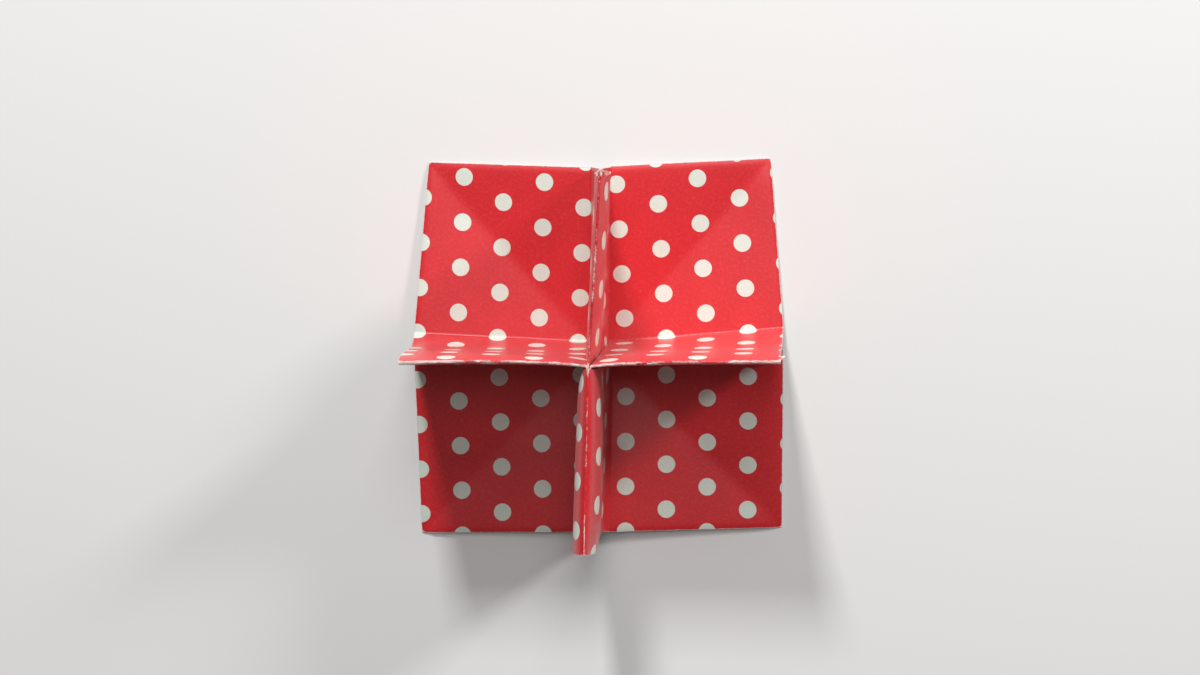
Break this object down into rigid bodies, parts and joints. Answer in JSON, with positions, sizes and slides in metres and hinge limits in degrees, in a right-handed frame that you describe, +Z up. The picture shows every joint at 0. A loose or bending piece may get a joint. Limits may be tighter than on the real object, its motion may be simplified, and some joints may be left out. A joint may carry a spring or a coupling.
{
  "type": "origami box divider",
  "caption": "Folded paper divider whose upright double-layer walls cross in a plus above flat floor panels, to part a square box into equal compartments.",
  "frame": {"origin": "middle of the footprint, on the underside of the floor panels", "axes": "+Z up, -Y towards the wall that holds the gathered layers, +X to the right of it"},
  "size_m": [0.0802, 0.0822, 0.0401],
  "materials": {
    "printed_paper": "satin"
  },
  "bodies": {
    "root": {"folded_sheet": "printed_paper"}
  },
  "joints": []
}
